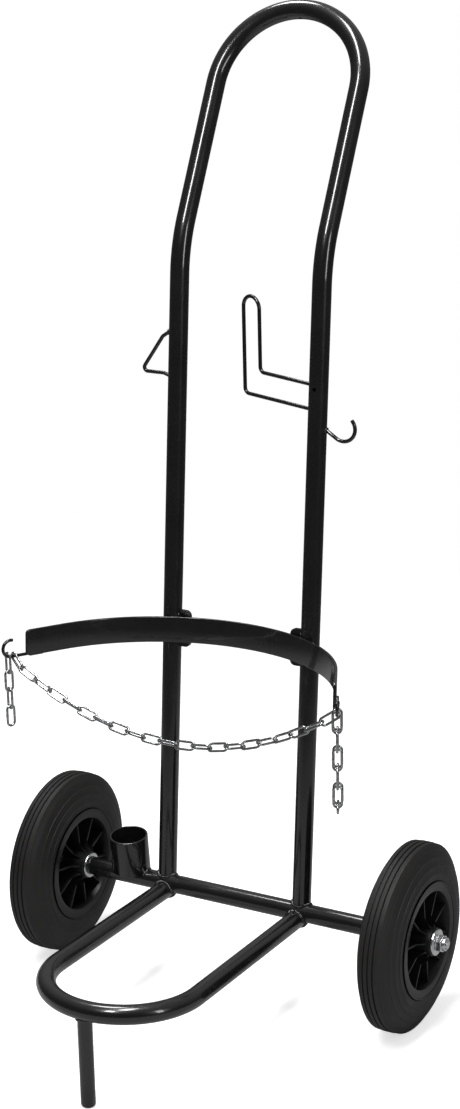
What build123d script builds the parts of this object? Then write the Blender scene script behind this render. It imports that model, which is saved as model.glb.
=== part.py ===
from build123d import *
from math import asin, atan, cos, radians, sin, sqrt, tan
import os

# Gas cylinder trolley, in millimetres. +Z is up, +X points to the right wheel, -Y to the load side.
# The origin is on the floor, under the middle of the whole trolley.

os.makedirs("parts", exist_ok=True)

# Fits
fit_gap = 0.1
seat_gap = 0.2

# Wheels and axle
wheel_radius = 100.0
wheel_track = 421.0
axle_radius = 10.0
axle_wall = 2.0
wheel_play = 0.3

# Frame tube and handle
tube_radius = 10.0
tube_wall = 1.5
tube_sides = 12
bore_sides = 6
upright_spacing = 165.0
upright_setback = 3.0
lean_angle = 5.5
handle_angle = 27.8
lower_length = 693.0
upper_length = 176.5
handle_bend_radius = 150.0
vent_radius = 2.0
drill_radius = 2.0
drill_height = 657.0

# Base hoop and leg
hoop_reach = 297.0
hoop_width = 162.0
hoop_drop = 6.5
hoop_angle = 2.4
hoop_wall = 2.0
leg_radius = 7.5
leg_setback = 1.5
leg_end_bevel = 3.0

# Cylinder band and its lugs
band_radius = 175.6
band_arc_angle = 64.8
band_straight = 44.9
band_thickness = 3.0
band_height = 28.0
band_angle = 4.1
band_level = 386.0
lug_height = 40.0
lug_thickness = 4.0
lug_edge = 60.0
lug_round = 6.0

# Wire hooks
wire_radius = 2.0
wire_sides = 8
wire_bend = 6.0
chain_wire_radius = 1.75
chain_hook_lap = 24.0
chain_hook_reach = 17.0
chain_hook_curl = 8.8
chain_hook_curl_angle = 195.0
chain_hook_lift = 1.2
loop_angle = 20.0
loop_upper_level = 660.0
loop_lower_level = 634.0
loop_top_level = 738.0
loop_near = 88.0
loop_far = 112.5
peg_reach = 41.0
peg_shoulder = 17.8
peg_top_level = 704.0
peg_shoulder_level = 694.6
peg_bottom_level = 655.5
peg_foot_level = 651.0
peg_bend = 4.0
j_centre = 29.0
j_level = 619.5
j_radius = 13.6
j_fall_angle = 35.3
j_tip_angle = 41.7

# Torch cup
cup_radius = 21.0
cup_wall = 2.0
cup_height = 49.2
cup_gap = 31.4
cup_angle = 5.0

# Wheel parts
tread_half = 10.9
shoulder_half = 18.4
shoulder_depth = 18.0
tyre_half = 22.0
flank_depth = 31.0
rim_lip_radius = 62.0
rim_seat_radius = 57.5
rim_half = 22.9
rim_lip = 4.0
rim_mouth_radius = 51.5
rim_floor_radius = 49.0
rim_web = 3.0
hub_radius = 15.0
hub_half = 29.3
rib_count = 10
rib_thickness = 1.8
rib_edge = 19.0
rib_hub_edge = 26.0
rib_foot = 24.0
rib_phase = -6.0
bush_radius = 12.5

# Axle ends
washer_radius = 14.0
washer_thickness = 2.5
stud_radius = 5.0
stud_proud = 2.0
plug_length = 25.0
nut_width = 17.0
nut_hex_height = 7.0
nut_height = 10.0
nut_collar_radius = 7.2
nut_chamfer = 0.8

# Chain
link_wire = 2.6
link_inside = 19.7
link_bore = 5.8
chain_pitch = 19.4
link_sides = 8
front_station = 20.0
middle_station = 13.0
rear_station = 6.5
ring_angle = 32.0
swag_links = 19
tail_links = 3
loop_links = 4
loop_link_gap = 0.3
link_roll = 45.0
link_lead_rolls = (103.0, 24.0, -56.0)
halvings = 40

# Places that follow from the sizes above
handle_back = (
    upright_setback + lower_length * sin(radians(lean_angle))
    + (upper_length + upright_spacing / 2) * sin(radians(handle_angle)) + tube_radius
)
axle_y = (hoop_reach + tube_radius - handle_back) / 2
axle_z = wheel_radius
axle_centre = Vector(0, axle_y, axle_z)
lower_way = Vector(0, sin(radians(lean_angle)), cos(radians(lean_angle)))
upper_way = Vector(0, sin(radians(handle_angle)), cos(radians(handle_angle)))
wheel_centre = wheel_track / 2
axle_half = wheel_centre + hub_half + wheel_play


def upright_foot(side):
    return Vector(side * upright_spacing / 2, axle_y + upright_setback, axle_z)


def upright_at(side, level):
    """The point of an upright's centre line at a height above the floor."""
    return upright_foot(side) + lower_way * ((level - axle_z) / lower_way.Z)


def round_cut(centre, way, radius, length):
    """Take a round bar, centred on a point, out of the part that is being built."""
    with BuildSketch(Plane(origin=centre, z_dir=way)) as section:
        Circle(radius)
    extrude(section.sketch, amount=length / 2, both=True, mode=Mode.SUBTRACT)


def cut_axle():
    round_cut(axle_centre, (1, 0, 0), axle_radius, wheel_track)


def cut_upright(side):
    middle = upright_foot(side) + lower_way * (lower_length / 2)
    round_cut(middle, lower_way, tube_radius, lower_length)


def sweep_tube(path, bore=0, mode=Mode.ADD):
    """Sweep the frame's tube along a path, its round section in many flats, hollow if it has a bore."""
    with BuildSketch(Plane(origin=path @ 0, z_dir=path % 0)) as section:
        RegularPolygon(tube_radius, tube_sides)
        if bore:
            RegularPolygon(bore, bore_sides, mode=Mode.SUBTRACT)
    sweep(section.sketch, path=path, mode=mode)


def sweep_wire(path, radius):
    with BuildSketch(Plane(origin=path @ 0, z_dir=path % 0)) as section:
        RegularPolygon(radius, wire_sides)
    sweep(section.sketch, path=path)


def write(piece, label):
    piece.part.label = label
    export_step(piece.part, f"parts/{label}.step")


# Handle: one tube, bent up from the left foot, over the arch and down to the right foot
handle_bends = {side: upright_foot(side) + lower_way * lower_length for side in (-1, 1)}
shoulders = {side: handle_bends[side] + upper_way * upper_length for side in (-1, 1)}
arch_top = (shoulders[-1] + shoulders[1]) / 2 + upper_way * (upright_spacing / 2)
with BuildLine() as handle_line:
    FilletPolyline(upright_foot(-1), handle_bends[-1], shoulders[-1], radius=handle_bend_radius)
    ThreePointArc(shoulders[-1], arch_top, shoulders[1])
    FilletPolyline(shoulders[1], handle_bends[1], upright_foot(1), radius=handle_bend_radius)
with BuildPart() as handle_frame:
    sweep_tube(handle_line.wires()[0], tube_radius - tube_wall)
    cut_axle()
    vent_way = Vector(0, -lower_way.Z, -lower_way.Y)
    with BuildSketch(Plane(origin=arch_top, z_dir=upper_way * -1)):
        Circle(vent_radius)
    extrude(amount=tube_radius * 2, mode=Mode.SUBTRACT)
    with BuildSketch(Plane(origin=upright_at(1, drill_height), z_dir=vent_way)):
        Circle(drill_radius)
    extrude(amount=tube_radius * 2, mode=Mode.SUBTRACT)
write(handle_frame, "handle_frame")

# Axle tube, straight from wheel to wheel
with BuildPart() as axle_tube:
    with BuildSketch(Plane(origin=axle_centre, z_dir=(1, 0, 0))):
        Circle(axle_radius)
        Circle(axle_radius - axle_wall, mode=Mode.SUBTRACT)
    extrude(amount=axle_half, both=True)
write(axle_tube, "axle_tube")

# Base hoop: two arms from the axle, joined by a half circle, rising a little to the front
hoop_radius = hoop_width / 2
hoop_plane = Plane(
    origin=(0, axle_y, axle_z - hoop_drop), x_dir=(1, 0, 0),
    z_dir=(0, sin(radians(hoop_angle)), cos(radians(hoop_angle))),
)
hoop_length = hoop_reach / cos(radians(hoop_angle))
hoop_front = hoop_plane.from_local_coords(Vector(0, -hoop_length, 0))
with BuildLine(hoop_plane) as hoop_line:
    Line((-hoop_radius, 0), (-hoop_radius, hoop_radius - hoop_length))
    ThreePointArc((-hoop_radius, hoop_radius - hoop_length), (0, -hoop_length),
                  (hoop_radius, hoop_radius - hoop_length))
    Line((hoop_radius, hoop_radius - hoop_length), (hoop_radius, 0))
with BuildPart() as base_hoop:
    sweep_tube(hoop_line.wires()[0], tube_radius - hoop_wall)
    cut_axle()
write(base_hoop, "base_hoop")

# Leg: a bar from the front of the hoop straight down to the floor
leg_y = hoop_front.Y + leg_setback
with BuildPart() as support_leg:
    with BuildSketch(Plane(origin=(0, leg_y, 0))):
        Circle(leg_radius)
    extrude(amount=hoop_front.Z)
    chamfer(support_leg.edges().sort_by(Axis.Z)[0], length=leg_end_bevel)
    sweep_tube(hoop_line.wires()[0], mode=Mode.SUBTRACT)
write(support_leg, "support_leg")

# Band: a flat strip that cradles the cylinder, welded to the front of both uprights
band_back = Vector(0, cos(radians(band_angle)), -sin(radians(band_angle)))
band_up = Vector(0, sin(radians(band_angle)), cos(radians(band_angle)))
band_slack = fit_gap + band_height / 2 * tan(radians(lean_angle - band_angle))
band_hold = band_radius + band_thickness + band_slack + tube_radius
band_centre = upright_at(1, band_level) - band_back * sqrt(band_hold**2 - (upright_spacing / 2) ** 2)
band_centre = Vector(0, band_centre.Y, band_centre.Z)
band_plane = Plane(origin=band_centre, x_dir=(1, 0, 0), z_dir=band_up)
band_turn = radians(band_arc_angle)
band_end_way = Vector(cos(band_turn), -sin(band_turn))


def band_end(side, radius):
    """An end of the strip's straight part, in the band's own plane."""
    end = Vector(sin(band_turn), cos(band_turn)) * radius + band_end_way * band_straight
    return Vector(side * end.X, end.Y)


with BuildPart() as cylinder_band:
    with BuildSketch(band_plane) as strip:
        with BuildLine():
            for radius in (band_radius, band_radius + band_thickness):
                arc_end = Vector(sin(band_turn), cos(band_turn)) * radius
                Line(band_end(-1, radius), (-arc_end.X, arc_end.Y))
                ThreePointArc((-arc_end.X, arc_end.Y), (0, radius), arc_end)
                Line(arc_end, band_end(1, radius))
            for side in (-1, 1):
                Line(band_end(side, band_radius), band_end(side, band_radius + band_thickness))
        make_face()
    extrude(amount=band_height / 2, both=True)
write(cylinder_band, "cylinder_band")

# Lugs: one plate on the inner side of each upright, behind the strip
band_outside = band_radius + band_thickness
lug_front = sqrt(band_outside**2 - lug_edge**2) + fit_gap
lug_plane = Plane(
    origin=band_plane.from_local_coords(Vector(0, lug_front, 0)), x_dir=(1, 0, 0), z_dir=band_back * -1
)
for side, name in ((-1, "left"), (1, "right")):
    with BuildPart() as band_lug:
        with BuildSketch(lug_plane):
            with Locations((side * (lug_edge + upright_spacing / 2) / 2, 0)):
                Rectangle(upright_spacing / 2 - lug_edge, lug_height)
        extrude(amount=-lug_thickness)
        free_edges = band_lug.edges().filter_by(Axis((0, 0, 0), band_back)).sort_by(Axis.X)
        fillet(free_edges[:2] if side > 0 else free_edges[-2:], radius=lug_round)
        cut_upright(side)
    write(band_lug, f"band_lug_{name}")

# Chain hooks: a wire lapped along the outside of each band end, carried on and curled up and back
hook_drop = band_height / 2 - chain_hook_lift
hook_planes = {}
for side, name in ((-1, "left"), (1, "right")):
    end = band_end(side, band_outside)
    start = end + Vector(side * sin(band_turn), cos(band_turn)) * chain_wire_radius
    origin = band_plane.from_local_coords(Vector(start.X, start.Y, -hook_drop))
    way = band_plane.x_dir * (side * band_end_way.X) + band_plane.y_dir * band_end_way.Y
    hook_planes[side] = Plane(origin=origin, x_dir=way, z_dir=way.cross(band_up))
    with BuildLine(hook_planes[side]) as hook_line:
        Line((-chain_hook_lap, 0), (chain_hook_reach, 0))
        CenterArc((chain_hook_reach, chain_hook_curl), chain_hook_curl, -90, chain_hook_curl_angle)
    with BuildPart() as chain_hook:
        sweep_wire(hook_line.wires()[0], chain_wire_radius)
    write(chain_hook, f"chain_hook_{name}")

# Hose loop: a wire on the right upright, bent out, up through a hairpin and back under itself
loop_middle = (loop_upper_level + loop_lower_level) / 2
loop_way = Vector(-cos(radians(loop_angle)), sin(radians(loop_angle)), 0)
loop_root = upright_at(1, loop_middle)
loop_plane = Plane(
    origin=(loop_root.X, loop_root.Y, 0), x_dir=loop_way, z_dir=loop_way.cross(Vector(0, 0, 1))
)
hairpin_radius = (loop_far - loop_near) / 2
hairpin_level = loop_top_level - hairpin_radius
with BuildLine(loop_plane) as loop_line:
    FilletPolyline((0, loop_upper_level), (loop_near, loop_upper_level), (loop_near, hairpin_level),
                   radius=wire_bend)
    ThreePointArc((loop_near, hairpin_level), (loop_near + hairpin_radius, loop_top_level),
                  (loop_far, hairpin_level))
    FilletPolyline((loop_far, hairpin_level), (loop_far, loop_lower_level), (0, loop_lower_level),
                   radius=wire_bend)
with BuildPart() as hose_loop:
    sweep_wire(loop_line.wires()[0], wire_radius)
    cut_upright(1)
write(hose_loop, "hose_loop")

# Hose peg: a triangle of wire on the left upright
peg_root = upright_at(-1, (peg_shoulder_level + peg_bottom_level) / 2)
peg_plane = Plane(origin=(peg_root.X, peg_root.Y, 0), x_dir=(-1, 0, 0), z_dir=(0, 1, 0))
with BuildLine(peg_plane) as peg_line:
    FilletPolyline(
        (tube_radius - wire_bend, peg_top_level), (peg_shoulder, peg_shoulder_level),
        (peg_reach + peg_bend, peg_bottom_level), (peg_shoulder, peg_bottom_level),
        (tube_radius - wire_bend, peg_foot_level), radius=peg_bend,
    )
with BuildPart() as hose_peg:
    sweep_wire(peg_line.wires()[0], wire_radius)
    cut_upright(-1)
write(hose_peg, "hose_peg")

# Side hook: a wire that drops from the right upright and curls up again
j_root = upright_at(1, j_level)
j_plane = Plane(origin=(j_root.X, j_root.Y, 0), x_dir=(1, 0, 0), z_dir=(0, -1, 0))
j_fall = radians(j_fall_angle)
j_low = (j_centre - j_radius * sin(j_fall), j_level - j_radius * cos(j_fall))
j_run = (j_low[0] - tube_radius + wire_bend) / cos(j_fall)
with BuildLine(j_plane) as j_line:
    Line((j_low[0] - cos(j_fall) * j_run, j_low[1] + sin(j_fall) * j_run), j_low)
    CenterArc((j_centre, j_level), j_radius, -90 - j_fall_angle, 90 + j_fall_angle + j_tip_angle)
with BuildPart() as side_hook:
    sweep_wire(j_line.wires()[0], wire_radius)
    cut_upright(1)
write(side_hook, "side_hook")

# Torch cup: an open tube that stands on the axle tube, tipped forward
cup_way = Vector(0, -sin(radians(cup_angle)), cos(radians(cup_angle)))
cup_foot = axle_radius + fit_gap
cup_side = wheel_centre - hub_half - wheel_play - washer_thickness - cup_gap - cup_radius
cup_root = Vector(-cup_side, axle_y, axle_z)
with BuildPart() as torch_cup:
    with BuildSketch(Plane(origin=cup_root + cup_way * cup_foot, x_dir=(1, 0, 0), z_dir=cup_way)):
        Circle(cup_radius)
        Circle(cup_radius - cup_wall, mode=Mode.SUBTRACT)
    extrude(amount=cup_height - cup_foot)
write(torch_cup, "torch_cup")


def wheel_plane(side, turn=0):
    """The half plane through the axle that a wheel's profiles lie in: x along the axle, y outwards."""
    angle = radians(turn)
    return Plane(
        origin=(side * wheel_centre, axle_y, axle_z), x_dir=(1, 0, 0), z_dir=(0, -cos(angle), -sin(angle))
    )


def mirrored(points):
    """A profile that is symmetrical about the wheel's middle plane, from its right half."""
    return points + [(-x, r) for x, r in reversed(points)]


ring_outline = mirrored([
    (rim_half - rim_lip, rim_seat_radius), (rim_half, rim_lip_radius),
    (rim_half, rim_mouth_radius), (rim_web / 2, rim_floor_radius),
])
disc_outline = mirrored([
    (rim_web / 2, rim_floor_radius), (rim_web / 2, hub_radius),
    (hub_half, hub_radius), (hub_half, bush_radius),
])
rib_outline = mirrored([
    (rib_hub_edge, bush_radius), (rib_hub_edge, hub_radius), (rib_edge, rib_foot),
    (rib_edge, (rim_mouth_radius + rim_seat_radius) / 2),
])
tyre_outline = mirrored([
    (tread_half, wheel_radius), (shoulder_half, wheel_radius - shoulder_depth),
    (tyre_half, wheel_radius - flank_depth), (tyre_half, rim_lip_radius + seat_gap),
    (rim_half - rim_lip, rim_seat_radius + seat_gap * 2),
])

for side, name in ((-1, "left"), (1, "right")):
    axle_line = Axis((side * wheel_centre, axle_y, axle_z), (1, 0, 0))

    # Rim ring: the drum that carries the tyre, with a lip at each edge
    with BuildPart() as rim_ring:
        with BuildSketch(wheel_plane(side)):
            Polygon(*ring_outline, align=None)
        revolve(axis=axle_line)
    write(rim_ring, f"rim_ring_{name}")

    # Rim disc: the hub and the thin web that joins it to the ring
    with BuildPart() as rim_disc:
        with BuildSketch(wheel_plane(side)):
            Polygon(*disc_outline, align=None)
        revolve(axis=axle_line)
    write(rim_disc, f"rim_disc_{name}")

    # Rim ribs: radial plates on both sides of the web, from the hub to the ring
    with BuildPart() as rim_ribs:
        for index in range(rib_count):
            with BuildSketch(wheel_plane(side, rib_phase + index * 360 / rib_count)):
                Polygon(*rib_outline, align=None)
            extrude(amount=rib_thickness / 2, both=True)
        add(rim_ring.part, mode=Mode.SUBTRACT)
        add(rim_disc.part, mode=Mode.SUBTRACT)
    write(rim_ribs, f"rim_ribs_{name}")

    # Tyre: solid rubber with a flat tread, seated between the rim's lips
    with BuildPart() as tyre:
        with BuildSketch(wheel_plane(side)):
            Polygon(*tyre_outline, align=None)
        revolve(axis=axle_line)
    write(tyre, f"tyre_{name}")

    # Bush: a sleeve pressed into the hub, running on the axle tube
    with BuildPart() as bush:
        with BuildSketch(Plane(origin=(side * wheel_centre, axle_y, axle_z), z_dir=(1, 0, 0))):
            Circle(bush_radius)
            Circle(axle_radius + fit_gap, mode=Mode.SUBTRACT)
        extrude(amount=hub_half, both=True)
    write(bush, f"hub_bush_{name}")

outwards = [Vector(side, 0, 0) for side in (-1, 1)]
tube_ends = [axle_centre + outward * axle_half for outward in outwards]

# Stop rings: fixed to the axle tube, inside the wheels
with BuildPart() as stop_rings:
    for outward in outwards:
        ring_face = axle_centre + outward * (wheel_centre - hub_half - wheel_play)
        with BuildSketch(Plane(origin=ring_face, z_dir=outward * -1)):
            Circle(washer_radius)
            Circle(axle_radius, mode=Mode.SUBTRACT)
    extrude(amount=washer_thickness)
write(stop_rings, "stop_rings")

# Axle studs: plugs fixed in the ends of the axle tube, with a thinner threaded end
stud_length = washer_thickness + nut_height + stud_proud
with BuildPart() as axle_studs:
    for outward, tube_end in zip(outwards, tube_ends):
        with BuildSketch(Plane(origin=tube_end, z_dir=outward * -1)):
            Circle(axle_radius - axle_wall)
        extrude(amount=plug_length)
        with BuildSketch(Plane(origin=tube_end, z_dir=outward)):
            Circle(stud_radius)
        extrude(amount=stud_length)
    stud_ends = axle_studs.edges().filter_by(GeomType.CIRCLE).sort_by(Axis.X)
    chamfer([stud_ends[0], stud_ends[-1]], length=nut_chamfer)
write(axle_studs, "axle_studs")

# End washers: they keep the wheels on
with BuildPart() as end_washers:
    for outward, tube_end in zip(outwards, tube_ends):
        with BuildSketch(Plane(origin=tube_end, z_dir=outward)):
            Circle(washer_radius)
            Circle(stud_radius, mode=Mode.SUBTRACT)
    extrude(amount=washer_thickness)
write(end_washers, "end_washers")

# Lock nuts: a hexagon with a round collar
with BuildPart() as lock_nuts:
    for outward, tube_end in zip(outwards, tube_ends):
        nut_plane = Plane(origin=tube_end + outward * washer_thickness, z_dir=outward)
        with BuildSketch(nut_plane):
            RegularPolygon(nut_width / 2, 6, major_radius=False)
        extrude(amount=nut_hex_height)
        with BuildSketch(nut_plane):
            Circle(nut_collar_radius)
        extrude(amount=nut_height)
        with BuildSketch(nut_plane):
            Circle(stud_radius)
        extrude(amount=nut_height, mode=Mode.SUBTRACT)
write(lock_nuts, "lock_nuts")

# Chain link: a stadium of round wire, its long way along X and its width along Y
link_bend = link_bore / 2
link_end = link_inside / 2 - link_bend
with BuildPart() as chain_link:
    with BuildSketch():
        with Locations((-link_end, 0), (link_end, 0)):
            RegularPolygon(link_bend + link_wire, link_sides, major_radius=False, rotation=180 / link_sides)
        make_hull()
    extrude(amount=link_wire / 2, both=True)
    with BuildSketch() as link_window:
        with Locations((-link_end, 0), (link_end, 0)):
            RegularPolygon(link_bend, link_sides, major_radius=False, rotation=180 / link_sides)
        make_hull()
    extrude(link_window.sketch, amount=link_wire, both=True, mode=Mode.SUBTRACT)
    flat_faces = chain_link.faces().filter_by(Axis.Z)
    chamfer(flat_faces.edges(), length=link_wire * (1 - cos(radians(360 / link_sides))))

down = Vector(0, 0, -1)


def link_place(start, end, width_way):
    """Where a link lies that spans two points of contact, its width nearest to a given way."""
    way = (end - start).normalized()
    return Plane(origin=(start + end) / 2, x_dir=way, z_dir=way.cross(width_way)).location


def write_links(places, label):
    with BuildPart() as links:
        with Locations(*places):
            add(chain_link.part)
    write(links, label)


def hook_ways(side):
    """The level way that a hook's wire points, and the level way across it to the trolley's middle."""
    along = hook_planes[side].x_dir
    along = Vector(along.X, along.Y, 0).normalized()
    return along, Vector(along.Y, -along.X, 0) * side


def ring_ends(side, station, angle):
    """A link round the hook's wire: its two points of contact and the way its width lies."""
    along, inward = hook_ways(side)
    climb = asin(max(0, station - chain_hook_reach) / chain_hook_curl)
    wire = hook_planes[side].from_local_coords(
        Vector(station, chain_hook_curl * (1 - cos(climb)), 0)
    )
    way = inward * cos(angle) + down * sin(angle)
    tilt = (climb + asin(hook_planes[side].x_dir.Z)) * sin(angle)
    start = wire - way * (chain_wire_radius / cos(tilt) + link_wire / 2 * tan(tilt))
    return start, start + way * chain_pitch, inward * sin(angle) - down * cos(angle)


# Hook links: the links that sit round the hooks' wire
hanging = radians(90)
swag_rings = {side: ring_ends(side, middle_station, radians(ring_angle)) for side in (-1, 1)}
tail_ring = ring_ends(-1, front_station, hanging)
loop_rings = [ring_ends(1, station, hanging) for station in (front_station, rear_station)]
all_rings = [swag_rings[-1], swag_rings[1], tail_ring] + loop_rings
write_links([link_place(*ring) for ring in all_rings], "hook_links")

# Swag: the chain that hangs from hook to hook, each link a little flatter than the one before
swag_start, swag_end = swag_rings[-1][1], swag_rings[1][1]
swag_span = (swag_end.X - swag_start.X) / chain_pitch


def swag_slopes(slack):
    return [atan(slack * (index - (swag_links - 1) / 2)) for index in range(swag_links)]


slack_low, slack_high = 0, 1
for _ in range(halvings):
    slack = (slack_low + slack_high) / 2
    if sum(cos(slope) for slope in swag_slopes(slack)) > swag_span:
        slack_low = slack
    else:
        slack_high = slack
swag_places = []
joint = swag_start
for index, slope in enumerate(swag_slopes(slack)):
    next_joint = joint + Vector(cos(slope), 0, sin(slope)) * chain_pitch
    from_end = min(index, swag_links - 1 - index)
    if from_end < len(link_lead_rolls):
        roll = radians(link_lead_rolls[from_end])
    else:
        roll = radians(link_roll if from_end % 2 else -link_roll)
    width_way = Vector(-sin(slope) * cos(roll), -sin(roll), cos(slope) * cos(roll))
    swag_places.append(link_place(joint, next_joint, width_way))
    joint = next_joint
write_links(swag_places, "chain_swag")


def strand(ring, side, count):
    """Links that hang straight down from a ring, turned a quarter from one to the next."""
    widths = hook_ways(side)
    top = ring[1]
    return [
        link_place(top + down * (chain_pitch * index), top + down * (chain_pitch * (index + 1)),
                   widths[index % 2])
        for index in range(count)
    ]


# Tail: the chain's spare end at the left hook
write_links(strand(tail_ring, -1, tail_links), "chain_tail_left")

# Loop: the chain's spare length at the right hook, two strands joined by one lying link
crown_centre = (link_inside - chain_pitch) / 2 + link_wire / 2
rods = [ring[1] + down * (chain_pitch * loop_links + crown_centre) for ring in loop_rings]
rod_way = (rods[0] - rods[1]).normalized()
loop_inward = hook_ways(1)[1]
loop_up = rod_way.cross(loop_inward)
loop_up = loop_up * (1 if loop_up.Z > 0 else -1)
lying_centre = (rods[0] + rods[1]) / 2 - loop_up * (link_bore / 2 - link_wire / 2 - loop_link_gap)
half_pitch = rod_way * (chain_pitch / 2)
lying_place = link_place(lying_centre - half_pitch, lying_centre + half_pitch, loop_up)
strands = strand(loop_rings[0], 1, loop_links) + strand(loop_rings[1], 1, loop_links)
write_links(strands + [lying_place], "chain_bundle_right")
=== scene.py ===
# %% [markdown]
# A gas trolley is a frame of bent steel tube on two wheels, with a flat band and a chain that hold its load.
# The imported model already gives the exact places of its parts, so this lesson loads it as a fixed frame and
# dresses it: each bare solid gets a finer surface or a better finish.

# %% Load the frame
import bpy
import bmesh
import numpy as np
from mathutils import Matrix, Vector


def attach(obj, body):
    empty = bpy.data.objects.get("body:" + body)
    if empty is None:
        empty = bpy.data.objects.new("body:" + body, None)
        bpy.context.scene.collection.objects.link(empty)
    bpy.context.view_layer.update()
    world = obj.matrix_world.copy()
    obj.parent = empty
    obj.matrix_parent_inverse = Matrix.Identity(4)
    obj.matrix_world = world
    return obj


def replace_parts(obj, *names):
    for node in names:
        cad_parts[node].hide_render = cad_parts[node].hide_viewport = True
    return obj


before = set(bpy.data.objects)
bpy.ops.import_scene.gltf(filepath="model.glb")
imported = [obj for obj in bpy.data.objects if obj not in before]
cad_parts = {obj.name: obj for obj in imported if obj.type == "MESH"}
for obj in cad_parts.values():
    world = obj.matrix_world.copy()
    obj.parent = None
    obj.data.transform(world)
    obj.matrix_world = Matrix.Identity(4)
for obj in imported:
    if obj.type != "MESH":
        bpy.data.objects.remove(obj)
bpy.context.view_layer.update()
mm = 0.001
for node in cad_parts:
    print("node", node)

# %% [markdown]
# The camera stands where the photograph was taken from. Its place and direction could be set by eye, but
# here they were fitted to the straight tubes and the round wheels: a turn to the right, a look down, and a
# small tilt. The three columns of its matrix are the ways that its right side, its top and its back point.

# %% Camera
camera_data = bpy.data.cameras.new("camera")
camera = bpy.data.objects.new("camera", camera_data)
bpy.context.collection.objects.link(camera)
turn, dip, tilt = np.radians((29.615, 17.607, -1.335))
back = np.array((np.sin(turn) * np.cos(dip), -np.cos(turn) * np.cos(dip), np.sin(dip)))
level = np.array((np.cos(turn), np.sin(turn), 0.0))
upward = np.cross(back, level)
right = np.cos(tilt) * level + np.sin(tilt) * upward
top = np.cos(tilt) * upward - np.sin(tilt) * level
eye = np.array((1182.66, -2014.36, 1242.10)) * mm
pose = np.eye(4)
pose[:3, 0], pose[:3, 1], pose[:3, 2], pose[:3, 3] = right, top, back, eye
camera.matrix_world = Matrix(pose.tolist())
sensor_height, focal_pixels, photo_height = 36.0, 2430.59, 1109
camera_data.sensor_fit = "VERTICAL"
camera_data.sensor_height = sensor_height
camera_data.lens = sensor_height * focal_pixels / photo_height
camera_data.clip_end = 50
bpy.context.scene.camera = camera
print("lens", round(camera_data.lens, 2), "mm")

# %% [markdown]
# Gloss paint shows its lamps as bright lines, so a studio lights black tube with soft boxes. The one in
# front hangs high: only the handle, which leans back, shows it as a long white line, while the steeper tubes
# below stay dark. The long one overhead carries that line over the arch, the one behind on the left draws
# the lines along the hoop and the axle, and the one at the side lights the ends of the wheels.

# %% Lamps
def soft_box(name, place, target, size, watts):
    """A rectangular lamp at a place, turned so that its face looks at the target."""
    lamp = bpy.data.lights.new(name, "AREA")
    lamp.shape = "RECTANGLE"
    lamp.size, lamp.size_y = size
    lamp.energy = watts
    holder = bpy.data.objects.new(name, lamp)
    bpy.context.collection.objects.link(holder)
    way = Vector(target) - Vector(place)
    holder.matrix_world = Matrix.Translation(place) @ way.to_track_quat("-Z", "Y").to_matrix().to_4x4()
    print("lamp", name, watts, "W")


soft_box("front_box", (0.06, -1.6, 2.55), (0, 0.15, 0.85), (0.42, 0.75), 25)
soft_box("top_box", (-0.75, 0.55, 2.35), (0, -0.05, 0.1), (0.5, 0.55), 14)
soft_box("over_box", (0.14, -0.3, 2.5), (0.05, 0.1, 0.9), (0.38, 0.95), 23)
soft_box("side_box", (2.5, -0.9, 1.3), (0.1, 0, 0.3), (0.4, 1.2), 11)

# %% [markdown]
# A white studio is white here only where the camera looks at it, straight or through glass. The Light Path
# node tells these rays from the ones that light the object, which get a plain grey, and from the ones that
# leave a shiny surface. Those see a dim room that grows lighter overhead. One white world for all of them
# would be simpler, but black paint would mirror it and look grey.

# %% World
def add_node(tree, kind, **values):
    """A new node, with input sockets set by name, underscores standing for spaces."""
    node = tree.nodes.new(kind)
    for name, value in values.items():
        node.inputs[name.replace("_", " ")].default_value = value
    return node


def link(tree, source, target):
    """A wire from an output socket to an input socket."""
    tree.links.new(source, target)


def vector_math(tree, operation, source, constant=(0, 0, 0)):
    """The outputs of a vector node that works on a source, and on a constant where it takes two."""
    node = add_node(tree, "ShaderNodeVectorMath")
    node.operation = operation
    node.inputs[1].default_value = constant
    link(tree, source, node.inputs[0])
    return node.outputs


def smooth_range(tree, source, **limits):
    """A value that runs from one range to another with a soft start and a soft end."""
    node = add_node(tree, "ShaderNodeMapRange", **limits)
    node.interpolation_type = "SMOOTHSTEP"
    link(tree, source, node.inputs["Value"])
    return node.outputs["Result"]


def mix_shaders(tree, factor, first, second):
    """The first shader where the factor is 0, the second where it is 1."""
    mix = add_node(tree, "ShaderNodeMixShader")
    for source, target in zip((factor, first, second), mix.inputs):
        link(tree, source, target)
    return mix.outputs[0]


world = bpy.data.worlds.new("studio")
bpy.context.scene.world = world
world.use_nodes = True
tree = world.node_tree
tree.nodes.clear()
plain_level, room_dark, room_light = 0.35, 0.06, 0.32
overhead = (0.0, 0.35, 0.94)
ray = add_node(tree, "ShaderNodeLightPath").outputs
plain, shiny, white = (add_node(tree, "ShaderNodeBackground", Color=(1, 1, 1, 1), Strength=strength)
                       for strength in (plain_level, room_dark, 1.0))
direction = add_node(tree, "ShaderNodeTexCoord").outputs["Generated"]
facing = vector_math(tree, "DOT_PRODUCT", direction, overhead)["Value"]
room = smooth_range(tree, facing, From_Min=0.1, From_Max=1.0, To_Min=room_dark, To_Max=room_light)
link(tree, room, shiny.inputs["Strength"])
looked_at = add_node(tree, "ShaderNodeMath")
looked_at.operation = "MAXIMUM"
link(tree, ray["Is Camera Ray"], looked_at.inputs[0])
link(tree, ray["Is Transmission Ray"], looked_at.inputs[1])
lighting = mix_shaders(tree, ray["Is Glossy Ray"], plain.outputs[0], shiny.outputs[0])
studio = mix_shaders(tree, looked_at.outputs[0], lighting, white.outputs[0])
link(tree, studio, add_node(tree, "ShaderNodeOutputWorld").inputs["Surface"])
bpy.context.scene.view_settings.view_transform = "Standard"
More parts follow.
